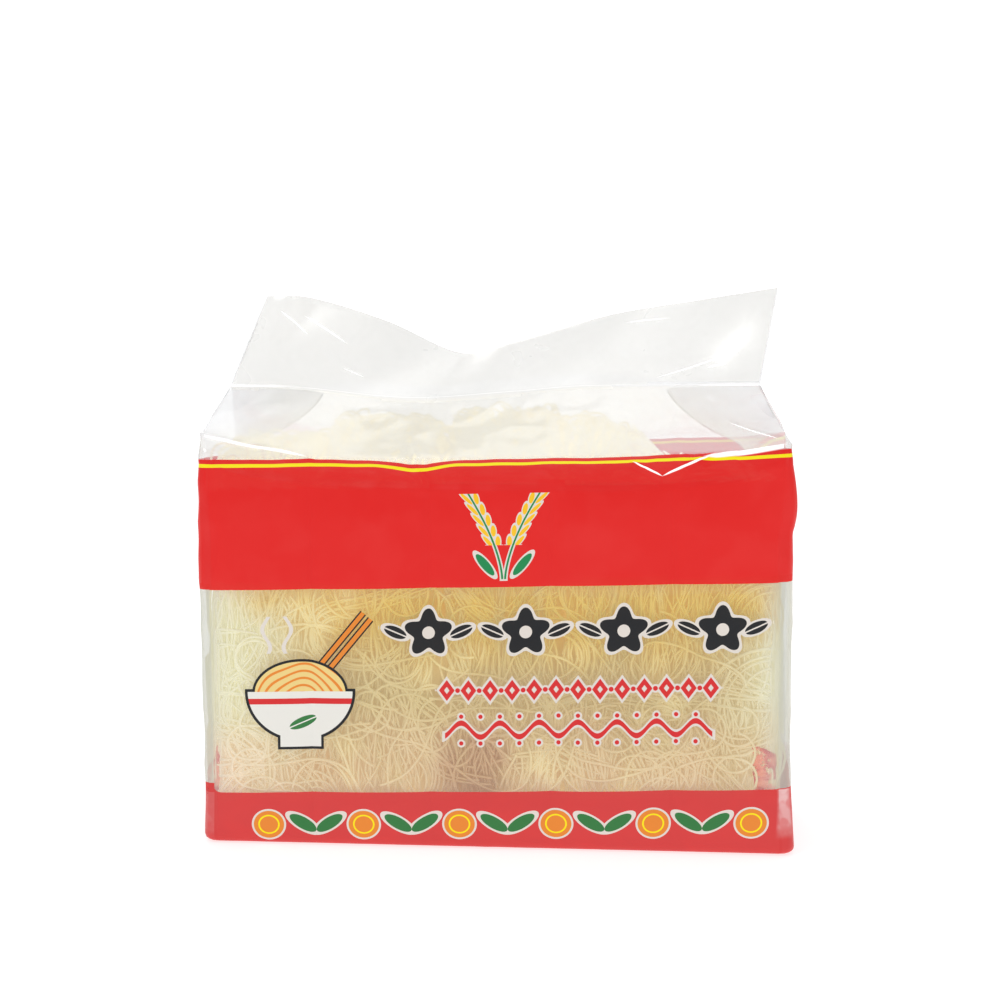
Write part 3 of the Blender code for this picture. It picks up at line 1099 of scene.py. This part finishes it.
def bundleCore(centre, width, top, dome):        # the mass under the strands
    m = noodleMake
    shape = bmesh.new()
    bmesh.ops.create_cube(shape, size=1.0)
    for vert in shape.verts:
        vert.co.x = centre + vert.co.x * (width - 0.004)
        vert.co.y *= 2 * (m["deep"] - 0.0012)
        vert.co.z = m["low"] + 0.002 + (vert.co.z + 0.5) * (top - 0.004 - m["low"] - 0.002)
    bmesh.ops.bevel(shape, geom=shape.edges[:], offset=0.010, segments=4, profile=0.5, affect="EDGES",
                    material=-1)
    bmesh.ops.subdivide_edges(shape, edges=shape.edges[:], cuts=3, use_grid_fill=True)
    shape.normal_update()
    for vert in shape.verts:
        grain = noise.noise(Vector((vert.co.x * 420, vert.co.y * 420, vert.co.z * 90)))
        vert.co += vert.normal * 0.0007 * grain
        vert.co.z = domed(vert.co.y, vert.co.z, dome)
        aside = (vert.co.x - centre) / (width / 2)
        if abs(centre) < 0.08 or aside * centre < 0:        # neighbours touch, so no light comes through
            vert.co.x += 0.0055 * aside * max(0.0, 1.0 - (vert.co.y / m["deep"]) ** 2)
        vert.co = keptInside(vert.co, 0.0026)
    bmesh.ops.triangulate(shape, faces=shape.faces[:])
    bmesh.ops.recalc_face_normals(shape, faces=shape.faces[:])
    for face in shape.faces:
        face.smooth = True
        face.material_index = 3
    return shape


def newStrands(name, thick, rounder, finishes):
    curve = bpy.data.curves.new(name, "CURVE")
    curve.dimensions = "3D"
    curve.bevel_depth = thick
    curve.bevel_resolution = rounder
    curve.use_fill_caps = True
    for finish in finishes:
        curve.materials.append(finish)
    return curve


def makeBundle(index, finishes):
    m = noodleMake
    name = "noodle_bundle_%d" % (index + 1)
    rng = random.Random(m["seed"] + index)
    centre, width = m["centres"][index], m["widths"][index]
    top, dome = m["tops"][index], m["domes"][index]
    curve = newStrands(name + "_strands", m["strand"], 0, finishes)
    longStrands(curve, rng, centre, width, top, dome)
    for side in (-1.0, 1.0):
        curlyStrands(curve, rng, centre, width, top, faceOf(side), m["faceReach"])
    topLoops(curve, rng, centre, width, top, dome)
    if index in (0, len(m["centres"]) - 1):
        endStrands(curve, rng, -1.0 if index == 0 else 1.0, top)
    mesh = meshFromCurve(curve, name)
    core = bundleCore(centre, width, top, dome)
    core.from_mesh(mesh)
    core.to_mesh(mesh)
    core.free()
    return finishPiece(name, mesh, finishes)


def meshFromCurve(curve, name):
    holder = bpy.data.objects.new(name + "_holder", curve)
    bpy.context.scene.collection.objects.link(holder)
    graph = bpy.context.evaluated_depsgraph_get()
    mesh = bpy.data.meshes.new_from_object(holder.evaluated_get(graph))
    mesh.name = name
    bpy.data.objects.remove(holder)
    bpy.data.curves.remove(curve)
    return mesh


def finishPiece(name, mesh, finishes):
    mesh.transform(Matrix.Translation(bagShift))
    mesh.materials.clear()
    for finish in finishes:
        mesh.materials.append(finish)
    made = addObject(name, mesh)
    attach(made, "root")
    print(name, len(mesh.polygons), "faces")
    return made


looseMake = {
    "seed": 77,
    "step": 0.0026,
    "wander": 24,
    "straighten": 0.05,
    "reach": 0.110,
    "families": (        # count, lowest, highest, usual bend, tightest bend, spread of the first heading
        (44, 0.010, 0.060, 25.0, 120.0, 0.6),
        (34, 0.048, 0.110, 60.0, 120.0, 2.0),
    ),
}


def makeLoose(finishes):        # strands behind the window: flat ones low down, large loops above
    m = looseMake
    rng = random.Random(m["seed"])
    curve = newStrands("loose_strands", noodleMake["strand"] * 1.1, 1, finishes)
    for count, low, high, usual, tightest, spread in m["families"]:
        for index in range(count):
            side = -1.0 if index < count * 0.6 else 1.0
            x, z = rng.uniform(-m["reach"] + 0.004, m["reach"] - 0.004), rng.uniform(low, high)
            heading = rng.choice((0.0, math.pi)) + rng.gauss(0, spread)
            bend = rng.gauss(0, usual)
            points = []
            for step in range(rng.randint(22, 60)):
                bend = nextBend(rng, bend, m["wander"], m["straighten"], tightest)
                if z < low or z > high:        # turns back towards its own height
                    bend = math.copysign(tightest, -math.cos(heading) * (z - low - high / 2))
                if abs(x) > m["reach"] - 0.008:
                    bend = math.copysign(tightest, math.sin(heading) * x)
                heading += bend * m["step"]
                x += math.cos(heading) * m["step"]
                z += math.sin(heading) * m["step"]
                x = held(-m["reach"] - 0.003, m["reach"] + 0.003, x)
                points.append(keptInside((x, side * 0.0418, max(0.004, z)), 0.0009))
            addStrand(curve, points, 2 if rng.random() < 0.7 else 0)
    return finishPiece("loose_strands", meshFromCurve(curve, "loose_strands"), finishes)


noodleColours = {        # window middle, window ends, low, tan hollow of painted shade, golden crown partly painted shade, above the window partly painted light
    "cream": ((0.615, 0.485, 0.21), (0.77, 0.74, 0.52), (0.71, 0.54, 0.31),
              (0.54, 0.34, 0.17), (0.70, 0.49, 0.08), (0.92, 0.875, 0.72)),
    "gold": ((0.51, 0.34, 0.07), (0.68, 0.62, 0.35), (0.60, 0.41, 0.19),
             (0.42, 0.22, 0.08), (0.62, 0.37, 0.02), (0.85, 0.78, 0.56)),
    "pale": ((0.75, 0.66, 0.40), (0.85, 0.84, 0.69), (0.82, 0.69, 0.48),
             (0.72, 0.53, 0.35), (0.78, 0.58, 0.16), (0.97, 0.95, 0.85)),
    # painted shade: the mass under the strands is darker, so the gaps between strands read as shade
    "mass": ((0.44, 0.28, 0.04), (0.64, 0.56, 0.29), (0.53, 0.33, 0.13),
             (0.32, 0.16, 0.05), (0.56, 0.32, 0.01), (0.74, 0.64, 0.39)),
}


noodleSkin = {
    "lowLeft": (0.84, 0.68, 0.52),
    "patches": (0.90, 0.80, 0.44),
    "darker": 0.12,
    "glow": 0.34,        # stands in for light that passes through the strands
}


def makeNoodleFinish(name):
    s = noodleSkin
    material, w, where = newFinish("noodle_" + name)
    middle, ends, low, hollow, crown, top = noodleColours[name]
    x, _, z = where.split()
    patch = where.noise(26.0, 2.0, 0.55) - 0.5
    stretched = w.node("ShaderNodeMapping", None, {"Vector": where, "Scale": (1.0, 0.4, 0.16)})
    streak = stretched.noise(95.0, 2.0, 0.55)
    grain = where.noise(260.0)
    # the golden crown is partly the noodles' tone and partly painted shade under the red band
    colour = (z + patch * 0.03).rise(0.066, 0.098).blend(middle, crown)
    outer = ((x - 0.008).size() - 0.014 * z.rise(0.085, 0.105) + patch * 0.05).rise(0.070, 0.110)
    colour = outer.blend(colour, ends)
    colour = ((1 - (z + patch * 0.04).rise(0.026, 0.066)) * (1 - 0.5 * outer)).blend(colour, low)
    colour = ((0 - x).rise(0.075, 0.105) * (1 - z.rise(0.030, 0.056)) * 0.6).blend(colour, s["lowLeft"])
    # painted shade: a darker tan patch low in the middle of the window
    tanShade = (1 - ((x + 0.008) / 0.022).size().nearest(1.0)) * (1 - ((z - 0.034) / 0.022).size().nearest(1.0))
    colour = tanShade.rise(0.0, 0.5).blend(colour, hollow)
    # above the window the noodles are paler, partly painted light from above
    upper = (z + patch * 0.02).rise(0.112, 0.136)
    colour = upper.blend(colour, top)
    colour = (patch.rise(0.04, 0.20) * (0.4 - 0.3 * upper)).blend(colour, s["patches"])
    colour = (streak.rise(0.52, 0.70) * (0.30 - 0.20 * upper)).blend(colour, middle)
    shine = 1 - 0.06 * z.rise(0.110, 0.140)        # the painted glow is a little less at the top
    black = (0.0, 0.0, 0.0, 1.0)
    # the base colour is darkened by the share that the painted glow adds back
    lit = w.node("ShaderNodeMix", {"data_type": "RGBA"}, {0: s["darker"], 6: colour, 7: black}, 2)
    closeFinish(w, {
        "Base Color": lit,
        "Roughness": 0.40 + 0.2 * grain,
        "Normal": grain.bump(0.25, 0.0003),
        "Emission Color": shine.blend((0.0, 0.0, 0.0), colour),
        "Emission Strength": s["glow"],
    })
    return material


# The folded gussets of the base, which show red inside the window's lower corners

flapMake = {
    "left": ((-0.1195, 0.021), (-0.1190, 0.030), (-0.1140, 0.0410), (-0.1148, 0.021)),
    "right": ((0.1080, 0.021), (0.1075, 0.046), (0.1168, 0.042), (0.1172, 0.021)),
    "front": -0.0418,
    "back": 0.0414,
    "cuts": 10,
    "crumple": 0.0006,
    "tones": ((0.55, 0.07, 0.06), (0.72, 0.28, 0.17)),
    "cover": 0.8,
    # painted light: the flaps glow a little, to lift their shade inside the bag
    "glow": 0.3,
}


def makeFlap(name, corners, y, finish):
    shape = bmesh.new()
    corners = [shape.verts.new((x, y, z)) for x, z in corners]
    shape.faces.new(corners)
    bmesh.ops.subdivide_edges(shape, edges=shape.edges[:], cuts=flapMake["cuts"], use_grid_fill=True)
    inward = -1.0 if y > 0 else 1.0
    for vert in shape.verts:
        x, _, z = vert.co
        vert.co.y += inward * flapMake["crumple"] * (1.0 + noise.noise(Vector((x * 260, y * 9, z * 260))))
        vert.co.x += 0.0012 * noise.noise(Vector((x * 120, 4.0, z * 240)))
        vert.co.z += 0.0016 * noise.noise(Vector((x * 240, 9.0, z * 120)))
    bmesh.ops.solidify(shape, geom=shape.faces[:], thickness=0.0001)
    bmesh.ops.recalc_face_normals(shape, faces=shape.faces[:])
    for face in shape.faces:
        face.smooth = True
    mesh = meshFrom(shape, name)
    mesh.transform(Matrix.Translation(bagShift))
    mesh.materials.append(finish)
    flap = addObject(name, mesh)
    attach(flap, "root")
    return flap


def makeFlapFinish():
    material, w, where = newFinish("folded_red_film")
    grain = where.noise(120.0, 3.0, 0.6, 0.5)
    colour = grain.rise(0.45, 0.62).blend(*flapMake["tones"])
    ragged = where.noise(300.0, 2.0, 0.6).rise(0.36, 0.50) * flapMake["cover"]        # ink has rubbed off
    # painted light: the flaps glow with their own colour
    closeFinish(w, {
        "Base Color": colour, "Roughness": 0.2 + 0.1 * grain, "Normal": grain.bump(0.5, 0.001),
        "Emission Color": colour, "Emission Strength": flapMake["glow"],
    }, ragged)
    return material


# Building the pack

filmMesh = makeFilm()
filmMesh.transform(Matrix.Translation(bagShift))
film = addObject("bag_film", filmMesh)
for name in filmFinishes:
    filmMesh.materials.append(makeFilmFinish(name))
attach(film, "root")
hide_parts("sealed_bag")
print("film made,", len(filmMesh.polygons), "faces")

noodleFinishes = [makeNoodleFinish(name) for name in ("cream", "gold", "pale", "mass")]
bundles = [makeBundle(index, noodleFinishes) for index in range(len(noodleMake["centres"]))]
loose = makeLoose(noodleFinishes)
flapFinish = makeFlapFinish()
flaps = [
    makeFlap("%s_%s_flap" % (face, side), flapMake[side], flapMake[face], flapFinish)
    for face in ("front", "back") for side in ("left", "right")
]
for piece in bundles + [loose] + flaps:
    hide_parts("sealed_bag")
print("noodles made")


# Studio: pale floor, soft lights, camera

floorMake = {"half": 2.4, "drop": 0.0004, "tone": 0.45, "roughness": 0.8, "glow": 0.71}
backdropMake = {
    "half": 1.0, "wide": 1.7, "place": (0, 1.9, 0.98), "tone": 0.9, "roughness": 0.9, "glow": 0.36,
}


def lay(shape, name, finishName, make):
    mesh = meshFrom(shape, name)
    material, w, _ = newFinish(finishName)
    closeFinish(w, {
        "Base Color": (*[make["tone"]] * 3, 1.0), "Roughness": make["roughness"],
        "Emission Color": (1.0, 1.0, 1.0, 1.0), "Emission Strength": make["glow"],
    })
    mesh.materials.append(material)
    return addObject(name, mesh, studio)


def makeFloor():
    shape = bmesh.new()
    bmesh.ops.create_grid(shape, x_segments=2, y_segments=2, size=floorMake["half"])
    bmesh.ops.translate(shape, vec=(0, 0, -floorMake["drop"]), verts=shape.verts[:])
    floor = lay(shape, "floor", "pale_floor", floorMake)


def makeBackdrop():        # a lit white sheet behind the pack
    shape = bmesh.new()
    bmesh.ops.create_grid(shape, x_segments=4, y_segments=4, size=backdropMake["half"])
    turn = Matrix.Rotation(math.radians(90), 4, "X")
    bmesh.ops.transform(shape, matrix=turn, verts=shape.verts[:])
    bmesh.ops.scale(shape, vec=(backdropMake["wide"], 1.0, 1.0), verts=shape.verts[:])
    bmesh.ops.translate(shape, vec=backdropMake["place"], verts=shape.verts[:])
    backdrop = lay(shape, "backdrop", "white_backdrop", backdropMake)


roomLight = 0.62
lights = (        # name, place, aim, size in metres, watts
    ("key", (-0.75, -1.05, 1.25), (0.0, 0.0, 0.10), 0.36, 3.2),
    ("fill", (1.10, -1.00, 0.70), (0.0, 0.0, 0.10), 0.30, 1.6),
    ("top", (0.05, 0.10, 1.35), (0.0, 0.0, 0.10), 0.90, 2.6),
    ("back", (-0.45, 1.15, 0.85), (0.0, 0.0, 0.12), 0.60, 1.5),
)


def makeLights():
    for name, place, aim, size, watts in lights:
        data = bpy.data.lights.new(name, "AREA")
        data.shape = "SQUARE"
        data.size = size
        data.energy = watts
        lamp = bpy.data.objects.new(name, data)
        lamp.location = place
        lamp.rotation_euler = (Vector(aim) - Vector(place)).to_track_quat("-Z", "Y").to_euler()
        studio.objects.link(lamp)
    world = bpy.data.worlds.new("pale_room")
    world.use_nodes = True
    sky = world.node_tree.nodes["Background"]
    sky.inputs["Color"].default_value = (1.0, 1.0, 1.0, 1.0)
    sky.inputs["Strength"].default_value = roomLight
    bpy.context.scene.world = world


cameraPlace = {
    "azimuth": 5.0,
    "distance": 0.968,
    "height": 0.256,
    "aim": (-0.0013, 0.0, 0.1406),
    "lens": 82.44,
    "sensor": 36.0,
}


def makeCamera():
    data = bpy.data.cameras.new("camera")
    data.lens = cameraPlace["lens"]
    data.sensor_width = cameraPlace["sensor"]
    data.clip_start = 0.01
    turn = math.radians(cameraPlace["azimuth"])
    camera = bpy.data.objects.new("camera", data)
    camera.location = (
        math.sin(turn) * cameraPlace["distance"],
        -math.cos(turn) * cameraPlace["distance"],
        cameraPlace["height"],
    )
    camera.rotation_euler = (Vector(cameraPlace["aim"]) - camera.location).to_track_quat("-Z", "Y").to_euler()
    studio.objects.link(camera)
    bpy.context.scene.camera = camera


makeFloor()
makeBackdrop()
makeLights()
makeCamera()
bpy.context.scene.view_settings.view_transform = "Standard"
print("studio made")
